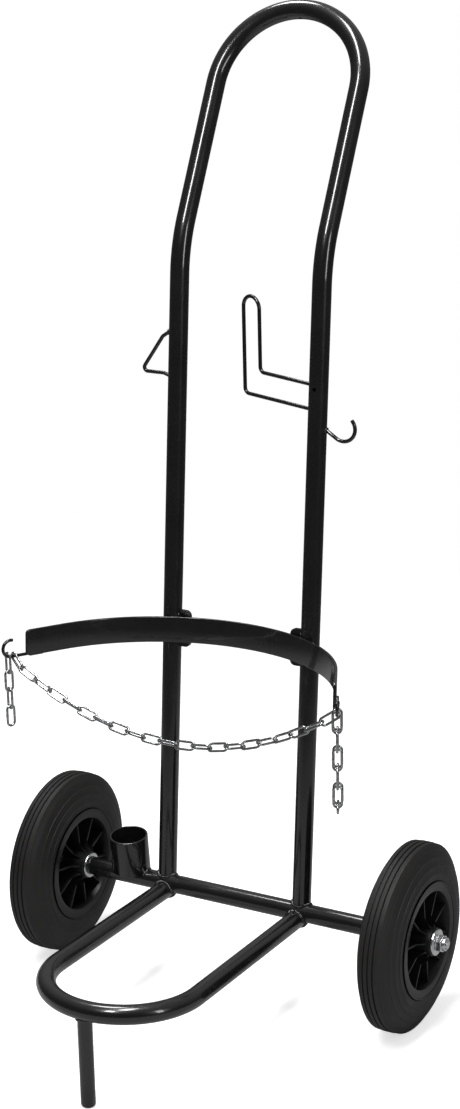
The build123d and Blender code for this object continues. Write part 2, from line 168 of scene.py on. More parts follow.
print("view transform", bpy.context.scene.view_settings.view_transform)

# %% [markdown]
# All the new pieces are surfaces on a grid: a shape is a set of rows of points, and neighbouring points
# become four-sided faces. Curves with a bevel would be quicker to draw, but a grid lets any row be moved or
# cut to fit. It can close round on itself in either way. Rows that shrink to one point close an end, and
# merging the doubled points there leaves a clean pole.

# %% Grids to meshes
def grid_faces(rows, columns, closed_rows, closed_columns, first):
    """Corner numbers of every face: point (i, j) has the number first + i * columns + j."""
    i = np.arange(rows if closed_rows else rows - 1)[:, None]
    j = np.arange(columns if closed_columns else columns - 1)[None, :]
    i_next, j_next = (i + 1) % rows, (j + 1) % columns
    corners = np.stack(np.broadcast_arrays(i * columns + j, i * columns + j_next,
                                           i_next * columns + j_next, i_next * columns + j), axis=-1)
    return corners.reshape(-1, 4) + first


def make_piece(name, body, finish, grids, sharp=35):
    """One object from several grids, each (points in millimetres, closed rows, closed columns)."""
    points, faces, first = [], [], 0
    for grid, closed_rows, closed_columns in grids:
        rows, columns = grid.shape[:2]
        points.append(grid.reshape(-1, 3) * mm)
        faces.append(grid_faces(rows, columns, closed_rows, closed_columns, first))
        first += rows * columns
    mesh = bpy.data.meshes.new(name)
    mesh.from_pydata(np.vstack(points).tolist(), [], np.vstack(faces).tolist())
    shell = bmesh.new()
    shell.from_mesh(mesh)
    bmesh.ops.remove_doubles(shell, verts=shell.verts, dist=1e-6)
    bmesh.ops.dissolve_degenerate(shell, edges=shell.edges, dist=1e-7)
    bmesh.ops.recalc_face_normals(shell, faces=shell.faces)
    shell.to_mesh(mesh)
    shell.free()
    mesh.shade_smooth()
    mesh.set_sharp_from_angle(angle=np.radians(sharp))
    piece = bpy.data.objects.new(name, mesh)
    bpy.context.collection.objects.link(piece)
    mesh.materials.append(finish)
    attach(piece, body)
    print("piece", name, len(mesh.polygons), "faces")
    return piece


print("a grid of 4 by 5 points, closed both ways, has", len(grid_faces(4, 5, True, True, 0)), "faces")

# %% [markdown]
# Real paint, rubber and zinc are never quite even. Painted image textures could show that, but noise needs
# no unwrapping and has no seams. Every finish starts as the same shader, with a slow noise that varies its
# colour and roughness and a fast one that makes its grain. The noises read Object coordinates in metres, so
# a scale of 300 is a grain of about three millimetres.

# %% Finishes
def make_finish(name, dark, light, rough, grain_scale, grain_height, cloud_scale=25, metal=0.0, coat=0.0,
                shine=0.5):
    """A shader whose colour runs from dark to light and roughness over a range, with a fine bump."""
    finish = bpy.data.materials.new(name)
    finish.use_nodes = True
    tree = finish.node_tree
    shader = tree.nodes["Principled BSDF"]
    place = add_node(tree, "ShaderNodeTexCoord").outputs["Object"]
    cloud = add_node(tree, "ShaderNodeTexNoise", Scale=cloud_scale, Detail=6, Roughness=0.6)
    grain = add_node(tree, "ShaderNodeTexNoise", Scale=grain_scale, Detail=3, Roughness=0.5)
    link(tree, place, cloud.inputs["Vector"])
    link(tree, place, grain.inputs["Vector"])
    tint = add_node(tree, "ShaderNodeMix")
    tint.data_type = "RGBA"
    tint.inputs["A"].default_value = (*dark, 1)
    tint.inputs["B"].default_value = (*light, 1)
    link(tree, cloud.outputs["Fac"], tint.inputs["Factor"])
    link(tree, tint.outputs["Result"], shader.inputs["Base Color"])
    polish = add_node(tree, "ShaderNodeMapRange", From_Min=0.3, From_Max=0.7, To_Min=rough[0], To_Max=rough[1])
    link(tree, cloud.outputs["Fac"], polish.inputs["Value"])
    link(tree, polish.outputs["Result"], shader.inputs["Roughness"])
    bump = add_node(tree, "ShaderNodeBump", Strength=1.0, Distance=grain_height * mm)
    link(tree, grain.outputs["Fac"], bump.inputs["Height"])
    link(tree, bump.outputs["Normal"], shader.inputs["Normal"])
    shader.inputs["Metallic"].default_value = metal
    shader.inputs["Specular IOR Level"].default_value = shine
    shader.inputs["Coat Weight"].default_value = coat
    shader.inputs["Coat Roughness"].default_value = 0.05
    print("finish", name)
    return finish


paint = make_finish("gloss_black_paint", (0.0035, 0.0035, 0.004), (0.0065, 0.0065, 0.007), (0.2, 0.3),
                    120, 0.0012, coat=0.9)
rubber = make_finish("tyre_rubber", (0.0105, 0.0096, 0.0091), (0.0175, 0.016, 0.0152), (0.45, 0.6),
                     900, 0.02, shine=0.4)
plastic = make_finish("rim_plastic", (0.0045, 0.005, 0.0055), (0.009, 0.0095, 0.010), (0.3, 0.42),
                      700, 0.012, shine=0.4)
nylon = make_finish("bush_nylon", (0.6, 0.59, 0.54), (0.72, 0.71, 0.66), (0.35, 0.5), 300, 0.02)
zinc = make_finish("bright_zinc", (0.68, 0.69, 0.7), (0.86, 0.87, 0.88), (0.16, 0.28),
                   500, 0.01, metal=1.0)
chain_zinc = make_finish("chain_zinc", (0.38, 0.39, 0.4), (0.62, 0.63, 0.64), (0.18, 0.28),
                         260, 0.012, cloud_scale=60, metal=1.0)

# %% [markdown]
# The floor is a round sheet that fades out towards its rim, so the white of the world takes over with no
# visible edge. Near the trolley it is solid enough to hold the wheels' shadows. A large white plane would be
# simpler, but its far edge and its own shading would show. A shiny surface sees the sheet as plain grey,
# which keeps the undersides of the black tubes dark.

# %% Floor
floor_radius, floor_corners = 2.6, 96
fade_start, fade_end = 0.55, 1.6
floor_mesh = bpy.data.meshes.new("floor")
floor_turns = np.linspace(0, 2 * np.pi, floor_corners, endpoint=False)
floor_rim = floor_radius * np.stack((np.cos(floor_turns), np.sin(floor_turns), 0 * floor_turns), axis=-1)
floor_mesh.from_pydata(floor_rim.tolist(), [], [list(range(floor_corners))])
floor = bpy.data.objects.new("floor", floor_mesh)
bpy.context.collection.objects.link(floor)
sheet = bpy.data.materials.new("floor_sheet")
sheet.use_nodes = True
tree = sheet.node_tree
tree.nodes.clear()
ray = add_node(tree, "ShaderNodeLightPath").outputs
matt, dim = (add_node(tree, "ShaderNodeBsdfDiffuse", Color=(grey, grey, grey, 1)).outputs[0]
             for grey in (0.86, 0.35))
glow = add_node(tree, "ShaderNodeEmission", Color=(1, 1, 1, 1), Strength=0.6).outputs[0]
clear = add_node(tree, "ShaderNodeBsdfTransparent").outputs[0]
bright = add_node(tree, "ShaderNodeAddShader")
link(tree, matt, bright.inputs[0])
link(tree, glow, bright.inputs[1])
mirrored = mix_shaders(tree, ray["Is Glossy Ray"], matt, dim)
solid = mix_shaders(tree, ray["Is Camera Ray"], mirrored, bright.outputs[0])
from_middle = vector_math(tree, "LENGTH", add_node(tree, "ShaderNodeTexCoord").outputs["Object"])["Value"]
fade = smooth_range(tree, from_middle, From_Min=fade_start, From_Max=fade_end)
link(tree, mix_shaders(tree, fade, solid, clear), add_node(tree, "ShaderNodeOutputMaterial").inputs["Surface"])
floor_mesh.materials.append(sheet)
print("floor", floor.dimensions[:])

# %% [markdown]
# A real frame is bent in a jig, from a drawing that gives a few lengths and angles. Its places are worked out
# in millimetres in the same way, so that the tubes, welds and hooks all start from the same lines: the
# axle's height and depth, the lean of the uprights, and the steeper lean of the handle above them.

# %% Frame lines
x_way, y_way, z_way = np.eye(3)
axle = np.array((0.0, 53.3924, 100.0))
tube_radius = 10.0
half_track, half_width = 210.5, 82.5
upright_back, lower_length, upper_length, elbow_bend = 3.0, 693.0, 176.5, 150.0
lower_lean, upper_lean = 5.5, 27.8


def lean(degrees):
    """The unit way that rises, leaning back by an angle."""
    return np.array((0, np.sin(np.radians(degrees)), np.cos(np.radians(degrees))))


lower_way, upper_way = lean(lower_lean), lean(upper_lean)
feet = {side: axle + (side * half_width, upright_back, 0) for side in (-1, 1)}
elbows = {side: feet[side] + lower_length * lower_way for side in (-1, 1)}
shoulders = {side: elbows[side] + upper_length * upper_way for side in (-1, 1)}


def unit(vectors):
    """Each vector divided by its own length."""
    return vectors / np.linalg.norm(vectors, axis=-1, keepdims=True)


def upright_at(side, height):
    """The upright's middle at a height: foot + lower way * rise above the axle / the way's own rise."""
    return feet[side] + lower_way * ((height - axle[2]) / lower_way[2])


print("handle top", (shoulders[1] + upper_way * half_width)[2] + tube_radius, "mm high")

# %% [markdown]
# Bent tube runs straight, turns through a neat arc and runs straight again. A spline through a few points
# would wobble between them, so one helper rounds the corners of a line of points with true arcs, and another
# makes an arc from a centre and two ways at right angles.

# %% Paths
def arc(centre, across, along, radius, start, end, count):
    """Points at centre + radius * (cos a * across + sin a * along), a running over the given degrees."""
    a = np.radians(np.linspace(start, end, count))[:, None]
    return centre + radius * (np.cos(a) * across + np.sin(a) * along)


def rounded(corners, radius, count=14):
    """A line of straight runs whose inner corners are arcs that touch both of their runs."""
    corners = [np.array(c, float) for c in corners]
    pieces = [corners[0][None]]
    for before, corner, after in zip(corners, corners[1:], corners[2:]):
        to_corner, from_corner = unit(corner - before), unit(after - corner)
        half = np.arccos(np.clip(to_corner @ from_corner, -1, 1)) / 2
        start = corner - to_corner * radius * np.tan(half)
        inward = unit(from_corner - to_corner * (to_corner @ from_corner))
        a = np.linspace(0, 2 * half, count)[:, None]
        pieces.append(start + radius * (np.sin(a) * to_corner + (1 - np.cos(a)) * inward))
    return np.vstack(pieces + [corners[-1][None]])


up_left = rounded([feet[-1], elbows[-1], shoulders[-1]], elbow_bend, 16)
print("the left upright and its elbow:", len(up_left), "points")

# %% [markdown]
# A tube is a circle carried along a path. A curve's own bevel does the same, but it turns the circle as it
# likes, and here the rings have to line up with cuts and seams. So at each point the circle stands square to
# the path, held level by one fixed way that the path never points along. A wire's cut end is softened by
# rings that shrink to a point.

# %% Tubes
cap_rings, wire_count, wire_bulge = 5, 20, 0.35


def path_ways(path, steady):
    """The path's own way at each point, and two ways square to it."""
    runs = unit(np.diff(path, axis=0))
    ahead = unit(np.vstack((runs[:1], runs[:-1] + runs[1:], runs[-1:])))
    across = unit(np.cross(ahead, steady))
    return ahead, across, np.cross(across, ahead)


def tube_rows(path, radii, steady, count):
    """Rings of radius r round each path point: point + r * (cos a * across + sin a * over)."""
    _, across, over = path_ways(path, steady)
    a = np.linspace(0, 2 * np.pi, count, endpoint=False)[None, :, None]
    radii = np.broadcast_to(np.asarray(radii, float), len(path))[:, None, None]
    return path[:, None] + radii * (np.cos(a) * across[:, None] + np.sin(a) * over[:, None])


def round_ends(rows, path, bulge):
    """Add a cap at both ends: rings shrunk by cos b that stand bulge * sin b past the path."""
    b = np.linspace(0, np.pi / 2, cap_rings + 1)[1:, None, None]
    caps = []
    for end, inner in ((0, 1), (-1, -2)):
        way = unit(path[end] - path[inner])
        caps.append(path[end] + (rows[end] - path[end]) * np.cos(b) + way * bulge * np.sin(b))
    return np.vstack((caps[0][::-1], rows, caps[1]))


def wire(path, radius, steady):
    """A round wire along a path, with its cut ends softened."""
    return round_ends(tube_rows(path, radius, steady, wire_count), path, radius * wire_bulge), False, True


print("a straight wire has", len(wire(np.array((0 * z_way, z_way)), 1.0, x_way)[0]), "rings")

# %% [markdown]
# Where one tube meets another it is cut to a saddle, a fish's mouth. A Boolean would cut it too, but leaves
# ragged faces along the seam. Here each point of the end ring slides along the tube until it lies on the
# other tube's surface: with d its offset from that tube's axis and w the way it slides, the distance s is
# the larger root of |d + s w| = R.

# %% Saddles
def saddle(points, way, centre, axis, radius):
    """Slide points along a way to the far side of a round bar, given by a point, its axis and its radius."""
    offset = points - centre
    offset = offset - (offset @ axis)[..., None] * axis
    slide = way - (way @ axis) * axis
    size = slide @ slide
    half = (offset @ slide) / size
    inside = np.maximum(half**2 - ((offset**2).sum(-1) - radius**2) / size, 0)
    return points + (np.sqrt(inside) - half)[..., None] * way


meeting = saddle(feet[1], lower_way, axle, x_way, tube_radius)
print("the right upright's centre line meets the axle's skin at", meeting.round(2))

# %% [markdown]
# The handle is one length of tube: up the left side, over the arch and down the right. It could be joined
# from straight tubes and bends, but one path leaves no seams in the long highlights. It is the piece that
# the eye follows, so it has forty-eight points round and short steps through the bends.

# %% Handle
def painted(name, *grids):
    """A piece of the welded frame, in the frame's own paint."""
    return make_piece(name, "frame", paint, grids)


tube_count = 48
arch_centre = (shoulders[-1] + shoulders[1]) / 2
arch = arc(arch_centre, -x_way, upper_way, half_width, 0, 180, 73)
handle_path = np.vstack((up_left, arch[1:-1], (up_left * (-1, 1, 1))[::-1]))
arch_normal = np.array((0, upper_way[2], -upper_way[1]))
handle_rows = tube_rows(handle_path, tube_radius, arch_normal, tube_count)
for end in (0, -1):
    handle_rows[end] = saddle(handle_rows[end], lower_way, axle, x_way, tube_radius)
handle = painted("handle_tube", (handle_rows, False, True))
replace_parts(handle, "handle_frame")

# %% [markdown]
# Steel tube is drilled before it is painted: the right upright has a hole, and under the arch there is a vent
# through which the tube breathes when it is welded. A dark disc would only look right from afar, so a small
# round cutter is taken out of the handle for each.

# %% Drilled holes
hole_radius, hole_depth, hole_level = 2.0, 6.0, 657.0


def square_to(way):
    """A unit way at right angles to another."""
    return unit(np.cross(way, x_way if abs(way[0]) < 0.9 else z_way))


def drill(piece, centre, way):
    """Take a round hole out of a piece, from a point on its skin inwards along a way."""
    path = np.array((centre - way * hole_depth, centre + way * hole_depth))
    cutter_rows = round_ends(tube_rows(path, hole_radius, square_to(way), 24), path, 0.01)
    cutter = painted("cutter", (cutter_rows, False, True))
    cut = piece.modifiers.new("hole", "BOOLEAN")
    cut.object, cut.operation, cut.solver = cutter, "DIFFERENCE", "EXACT"
    graph = bpy.context.evaluated_depsgraph_get()
    drilled = bpy.data.meshes.new_from_object(piece.evaluated_get(graph))
    piece.modifiers.clear()
    old = piece.data
    piece.data = drilled
    bpy.data.meshes.remove(old)
    bpy.data.objects.remove(cutter)


front_of_upright = np.array((0, -lower_way[2], lower_way[1]))
drill(handle, upright_at(1, hole_level) + front_of_upright * tube_radius, front_of_upright)
drill(handle, arch_centre + upper_way * (half_width - tube_radius), upper_way)
handle.data.set_sharp_from_angle(angle=np.radians(35))
print("handle", len(handle.data.polygons), "faces after drilling")

# %% [markdown]
# The base hoop is the same tube, bent to a half circle that carries the load. Like the handle it is one path,
# and both of its arms end in saddles against the axle.

# %% Base hoop
hoop_tilt = np.radians(2.4)
hoop_drop, hoop_reach, hoop_radius = 6.5, 297.0, 81.0
hoop_length = hoop_reach / np.cos(hoop_tilt)
hoop_ahead = np.array((0, -np.cos(hoop_tilt), np.sin(hoop_tilt)))
hoop_root = axle - (0, 0, hoop_drop)
hoop_middle = hoop_root + hoop_ahead * (hoop_length - hoop_radius)
hoop_arc = arc(hoop_middle, -x_way, hoop_ahead, hoop_radius, 0, 180, 61)
hoop_path = np.vstack((hoop_root - x_way * hoop_radius, hoop_arc, hoop_root + x_way * hoop_radius))
hoop_rows = tube_rows(hoop_path, tube_radius, np.cross(x_way, hoop_ahead), tube_count)
for end in (0, -1):
    hoop_rows[end] = saddle(hoop_rows[end], hoop_ahead, axle, x_way, tube_radius)
hoop = painted("base_hoop_tube", (hoop_rows, False, True))
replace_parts(hoop, "base_hoop")

# %% [markdown]
# The leg is a bar with a rounded foot, and its top is cut to fit under the hoop's front. A plain bar with a
# Bevel modifier would do for the foot but not for the top, so it is turned from a line of radii and heights,
# as on a lathe, and its last ring is slid on to the hoop.

# %% Support leg
def turned(line, start, way, across, over, count):
    """Turn a line of (radius r, distance s): start + s * way + r * (cos a * across + sin a * over)."""
    line = np.array(line, float)
    a = np.linspace(0, 2 * np.pi, count, endpoint=False)[:, None]
    ring = np.cos(a) * across + np.sin(a) * over
    return start + line[:, 1, None, None] * way + line[:, 0, None, None] * ring


leg_radius, leg_back, above_hoop = 7.5, 1.5, 80.0
hoop_front = hoop_root + hoop_ahead * hoop_length
leg_foot = np.array((0, hoop_front[1] + leg_back, 0.0))
leg_line = ((0, 0), (4.4, 0), (5.6, 0.35), (6.6, 1.1), (7.2, 2.1), (leg_radius, 3.4), (leg_radius, 20.0),
            (leg_radius, above_hoop))
leg_rows = turned(leg_line, leg_foot, z_way, x_way, y_way, tube_count)
leg_rows[-1] = saddle(leg_rows[-1], -z_way, hoop_front, x_way, tube_radius)
leg = painted("leg_bar", (leg_rows, False, True))
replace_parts(leg, "support_leg")

# %% [markdown]
# The band is a flat strip rolled to a round curve, with straight ends. Its back all but touches the two
# uprights, which gives its centre: as far from each as the strip's outer radius plus the tube's. A curve
# drawn by eye would miss that fit. Steps close together at each end leave room to round the strip's corners.

# %% Band line
band_tilt_degrees, band_turn_degrees = 4.1, 64.8
band_radius, band_thickness, band_height, band_straight = 175.6, 3.0, 28.0, 44.9
band_level, band_gap = 386.0, 0.1
band_tilt, band_turn = np.radians(band_tilt_degrees), np.radians(band_turn_degrees)
band_back = np.array((0, np.cos(band_tilt), -np.sin(band_tilt)))
band_up = np.array((0, np.sin(band_tilt), np.cos(band_tilt)))
slack = band_gap + band_height / 2 * np.tan(np.radians(lower_lean - band_tilt_degrees))
hold = band_radius + band_thickness + slack + tube_radius
band_centre = upright_at(1, band_level) - band_back * np.sqrt(hold**2 - half_width**2)
band_centre[0] = 0
band_ways = {side: x_way * side * np.cos(band_turn) - band_back * np.sin(band_turn) for side in (-1, 1)}
band_outs = {side: x_way * side * np.sin(band_turn) + band_back * np.cos(band_turn) for side in (-1, 1)}


def band_end(side, radius):
    """Where the strip's line ends: the arc's last point plus the straight part."""
    return band_centre + band_outs[side] * radius + band_ways[side] * band_straight


band_middle = band_radius + band_thickness / 2
band_curve = arc(band_centre, x_way, band_back, band_middle, 90 + band_turn_degrees, 90 - band_turn_degrees, 81)
end_steps = np.array((0, 0.02, 0.1, 0.25, 0.5, 1.0, 2.0, 4.0, 8.0))[:, None]
left_end = band_end(-1, band_middle)
left_line = left_end + unit(band_curve[0] - left_end) * end_steps
band_path = np.vstack((left_line, band_curve, (left_line * (-1, 1, 1))[::-1]))
print("band line", len(band_path), "points")

# %% [markdown]
# The strip's section is a flat oblong with softened edges, carried along the line. A Solidify modifier would
# leave its edges sharp. Near each end the section loses height by c - sqrt(c * c - (c - run)^2), with c the
# corner's radius, which rounds the strip's corners.

# %% Band strip
corner_radius, edge_radius = 4.0, 0.8


def run_along(path):
    """The sum of the steps' lengths up to each point of a path."""
    return np.concatenate(([0], np.cumsum(np.linalg.norm(np.diff(path, axis=0), axis=1))))


run = run_along(band_path)
short = np.maximum(corner_radius - np.minimum(run, run[-1] - run), 0)
lost = corner_radius - np.sqrt(corner_radius**2 - short**2)
a = np.radians(np.linspace(0, 90, 5))
quarter = np.stack((np.cos(a), np.sin(a)), axis=-1) * edge_radius
turns = [quarter, quarter[:, ::-1] * (-1, 1), quarter * (-1, -1), quarter[:, ::-1] * (1, -1)]
half_size = np.array((band_thickness, band_height)) / 2 - edge_radius
section = np.vstack([half_size * at + part for at, part in zip(((1, 1), (-1, 1), (-1, -1), (1, -1)), turns)])
high = np.sign(section[:, 1]) * np.maximum(np.abs(section[None, :, 1]) - lost[:, None], 0.2)
_, band_out, _ = path_ways(band_path, band_up)
band_rows = band_path[:, None] + section[None, :, 0, None] * band_out[:, None] + high[..., None] * band_up
caps = [np.broadcast_to(band_rows[end].mean(axis=0), band_rows[end].shape)[None] for end in (0, -1)]
band = painted("band_strip", (np.vstack((caps[0], band_rows, caps[1])), False, True))
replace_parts(band, "cylinder_band")

# %% [markdown]
# Each chain hook is a wire laid along the outside of the strip's end, carried on past it and curled back
# over itself. Hooks could be drawn by eye, but the chain's places start from them, so their lines are worked
# out from the strip's end and kept for later.

# %% Chain hooks
hook_radius = 1.75
hook_drop, hook_lap = 12.8, 24.0
curl_radius, curl_reach = 8.8, 17.0
hook_roots = {}
for side, name in ((-1, "left"), (1, "right")):
    strip_skin = band_end(side, band_radius + band_thickness)
    hook_roots[side] = strip_skin + band_outs[side] * hook_radius - band_up * hook_drop
    curl_centre = hook_roots[side] + band_ways[side] * curl_reach + band_up * curl_radius
    curl = arc(curl_centre, band_ways[side], band_up, curl_radius, -90, 105, 53)
    hook_path = np.vstack((hook_roots[side] - band_ways[side] * hook_lap, curl))
    hook = painted(f"chain_hook_wire_{name}", wire(hook_path, hook_radius, np.cross(band_ways[side], band_up)))
    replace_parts(hook, f"chain_hook_{name}")
print("right hook's way", band_ways[1].round(3))

# %% [markdown]
# Three more wires are welded to the uprights, and each lies in one plane. The first, behind the right
# upright, has a hairpin. Its path is written in two lengths: s along the wire's plane and z upwards.

# %% Hose loop
wire_radius = 2.0
loop_turn = np.radians(20)
loop_way = np.array((-np.cos(loop_turn), np.sin(loop_turn), 0))
loop_root = upright_at(1, 647.0) * (1, 1, 0)
loop_high, loop_low, hairpin_level = 660, 634, 725.75
loop_start, loop_near, loop_far, loop_bend = 6, 88, 112.5, 6.0


def on_loop(s, z):
    """A point of the loop's upright plane: root + s * loop way + z * up."""
    return loop_root + loop_way * s + z_way * z


hairpin = arc(on_loop((loop_near + loop_far) / 2, hairpin_level), -loop_way, z_way, (loop_far - loop_near) / 2,
              0, 180, 31)
loop_in = rounded([on_loop(loop_start, loop_high), on_loop(loop_near, loop_high), hairpin[0]], loop_bend)
loop_out = rounded([hairpin[-1], on_loop(loop_far, loop_low), on_loop(loop_start, loop_low)], loop_bend)
loop_path = np.vstack((loop_in[:-1], hairpin, loop_out[1:]))
loop = painted("hose_loop_wire", wire(loop_path, wire_radius, np.cross(loop_way, z_way)))
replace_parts(loop, "hose_loop")

# %% [markdown]
# On the left upright a wire bent to a triangle sticks out, and on the right one a small hook drops away and
# curls up again. A few corners with rounded bends give the first, and one arc with a short straight run the
# second.

# %% Hose peg and side hook
peg_root = upright_at(-1, 675.05) * (1, 1, 0)
peg_line = ((5, 703.3), (17.8, 694.6), (45, 655.5), (17.8, 655.5), (5, 651.3))
peg_path = rounded([peg_root + (-out, 0, height) for out, height in peg_line], 4.0)
peg = painted("hose_peg_wire", wire(peg_path, wire_radius, y_way))
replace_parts(peg, "hose_peg")

side_level, side_reach, side_radius, side_run = 619.5, 29, 13.6, 17.5
side_centre = upright_at(1, side_level) * (1, 1, 0) + (side_reach, 0, side_level)
side_curl = arc(side_centre, x_way, z_way, side_radius, -125.3, 41.7, 41)
fall = unit(side_curl[1] - side_curl[0])
side_path = np.vstack((side_curl[0] - fall * side_run, side_curl))
side_hook = painted("side_hook_wire", wire(side_path, wire_radius, y_way))
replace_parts(side_hook, "side_hook")

# %% [markdown]
# The torch cup is a short open tube. A bare sheet with a Solidify modifier would have a sharp rim, so one
# line of radii runs up its outer wall, over the rounded lip and down inside. The bottom edge follows the
# axle, and is cut level where it leaves it: at an offset v across the axle, that surface is
# sqrt(R * R - v * v) high.

# %% Torch cup
cup_lean, cup_place, cup_length, cup_lift = np.radians(5), 126.0, 49.2, 8.0
cup_inner, cup_outer = 19.0, 21.0
cup_way = np.array((0, -np.sin(cup_lean), np.cos(cup_lean)))
cup_over = np.cross(x_way, cup_way)
cup_root = axle - (cup_place, 0, 0)
below_lip = np.array(((cup_outer, 0.8), (20.8, 0.25), (20.3, 0), (19.7, 0), (19.2, 0.25), (cup_inner, 0.8)))
cup_radii = np.array((cup_inner, cup_outer, *below_lip[:, 0]))
a = np.linspace(0, 2 * np.pi, 64, endpoint=False)
foot = np.maximum(cup_lift, np.sqrt(np.maximum(tube_radius**2 - (cup_radii[:2, None] * np.sin(a)) ** 2, 0)))
cup_heights = np.vstack((foot, np.broadcast_to(cup_length - below_lip[:, 1, None], (len(below_lip), len(a)))))
cup_ring = np.cos(a)[:, None] * x_way - np.sin(a)[:, None] * cup_over
cup_rows = cup_root + cup_radii[:, None, None] * cup_ring + cup_heights[..., None] * cup_way
cup = painted("torch_cup_tube", (cup_rows, True, True))
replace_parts(cup, "torch_cup")

# %% [markdown]
# A weld bead is a row of small ripples, left as the arc moved on, and the paint covers it. A bump in the
# paint would vanish in outline, so it is a thin tube along the seam whose radius swells and shrinks:
# r * (1 + depth * cos(2 pi run / ripple)), with the run along the seam and the length of one ripple.

# %% Weld beads
ripple = 1.6
tube_bead, leg_bead, cup_bead, wire_bead, hook_bead, lug_bead = 2.0, 1.8, 1.4, 1.1, 0.9, 1.2
wire_seam, loop_out_at, peg_out_at, side_back_at = 2.1, 10.8, 10.2, 13.2
hook_back, hook_in, hook_run = 22, 1.2, 17
lug_foot, lug_in, lug_faces, lug_run = 370.0, 9.4, (0.6, -3.8), 33
cup_half_seam, peg_levels = 22, (699.8, 653.0)
bead_count, ripple_steps, ripple_depth = 12, 6, 0.1


def bead(path, size, steady, closed=True):
    """A rippled tube along a seam: closed for a ring, otherwise tapered to its ends."""
    line = np.vstack((path, path[:1])) if closed else path
    run = run_along(line)
    count = max(int(run[-1] / ripple * ripple_steps), 24)
    places = np.linspace(0, run[-1], count)
    line = np.stack([np.interp(places, run, line[:, k]) for k in range(3)], axis=-1)
    waves = round(run[-1] / ripple)
    radii = size * (1 + ripple_depth * np.cos(2 * np.pi * waves * places / run[-1]))
    if not closed:
        radii = radii * np.sqrt(np.clip(np.minimum(places, run[-1] - places) / size, 0.01, 1))
        return tube_rows(line, radii, steady, bead_count), False, True
    return tube_rows(line[:-1], radii[:-1], steady, bead_count), True, True


beads = [bead(rows[end], tube_bead, x_way) for rows in (handle_rows, hoop_rows) for end in (0, -1)]
beads.append(bead(leg_rows[-1], leg_bead, np.array((0.1, 1.0, 0))))
for middle in (0, 180):
    seam = np.radians(np.linspace(middle - cup_half_seam, middle + cup_half_seam, 24))[:, None]
    rise = np.sqrt(tube_radius**2 - (cup_outer * np.sin(seam)) ** 2)
    seam_line = cup_root + cup_outer * (np.cos(seam) * x_way - np.sin(seam) * cup_over) + rise * cup_way
    beads.append(bead(seam_line, cup_bead, z_way, closed=False))
loop_seams = [(on_loop(loop_out_at, level), loop_way) for level in (loop_high, loop_low)]
peg_seams = [(peg_root + (-peg_out_at, 0, level), -x_way) for level in peg_levels]
side_seam = (side_curl[0] - fall * side_back_at, fall)
for centre, way in [*loop_seams, *peg_seams, side_seam]:
    side_way = square_to(way)
    seam = arc(centre, side_way, np.cross(way, side_way), wire_seam, 0, 350, 36)
    beads.append(bead(seam, wire_bead, np.array((0.03, 0.02, 1.0))))
for side in (-1, 1):
    for lift in (-hook_radius, hook_radius):
        start = hook_roots[side] - band_outs[side] * hook_in + band_up * lift - band_ways[side] * hook_back
        line = np.linspace(start, start + band_ways[side] * hook_run, 30)
        beads.append(bead(line, hook_bead, band_up, closed=False))
    for depth in lug_faces:
        start = upright_at(side, lug_foot) - x_way * side * lug_in + y_way * depth
        line = np.linspace(start, start + lower_way * lug_run, 30)
        beads.append(bead(line, lug_bead, x_way, closed=False))
painted("weld_beads", *beads)

# %% [markdown]
# A wheel is turned, so its parts are profiles spun about the axle: whole rings of points at once, where the
# Screw modifier would need an object turned to the axle. A profile is a list of (distance from the wheel's
# middle, radius), worked for the right half and mirrored.

# %% Spinning profiles
wheel_middles = {side: axle + x_way * side * half_track for side in (-1, 1)}


def both_halves(half):
    """A profile and its mirror image: (x, r), then (-x, r) in reverse order."""
    half = np.array(half, float)
    return np.vstack((half, (half * (-1, 1))[::-1]))


def spin(profile, side, count):
    """Turn a profile about the axle: (x, r cos a, r sin a), moved to its wheel's middle."""
    return turned(profile[:, ::-1], wheel_middles[side], x_way * side, y_way, z_way, count), True, True


print("wheel middles", [middle.round(1).tolist() for middle in wheel_middles.values()])

# %% [markdown]
# The tyre is one ring of solid rubber. Its crown has four ribs with three grooves between them, a wide
# shoulder slopes away to the side, and fine moulded lines run round the side wall. Grooves in a bump would
# leave the outline smooth, so they are in the profile.

# %% Tyres
groove_place, groove = 5.45, 0.9
tread = [(0, 98.5), (0.5, 98.5), (groove, 100.0), (groove_place - groove, 100.0), (5.0, 98.3), (5.9, 98.3),
         (groove_place + groove, 99.6), (10.4, 99.4), (10.9, 98.9)]
shoulder = [(13.6, 94.4), (14.6, 92.9), (15.0, 92.5), (15.2, 91.9), (17.4, 87.2), (18.0, 85.9), (18.5, 85.6),
            (18.6, 84.8), (19.6, 80.6), (20.5, 78.2), (21.0, 77.9), (21.1, 77.1), (21.6, 72.6), (21.9, 70.6),
            (22.4, 70.2), (22.3, 69.4), (22.2, 66.0), (21.8, 62.9), (21.0, 62.2), (19.3, 60.4), (18.7, 57.9)]
tyre_profile = both_halves(tread + shoulder)
for side, name in ((-1, "left"), (1, "right")):
    tyre = make_piece(f"tyre_rubber_{name}", f"wheel_{name}", rubber,
                      [spin(tyre_profile, side, 160)], sharp=28)
    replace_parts(tyre, f"tyre_{name}")

# %% [markdown]
# Rubber from a turned mould keeps its fine rings, far too many to model. Their height is a noise that reads
# only the distance along the axle and the distance from it, so it is the same all the way round. It goes in
# ahead of the rubber's own grain.

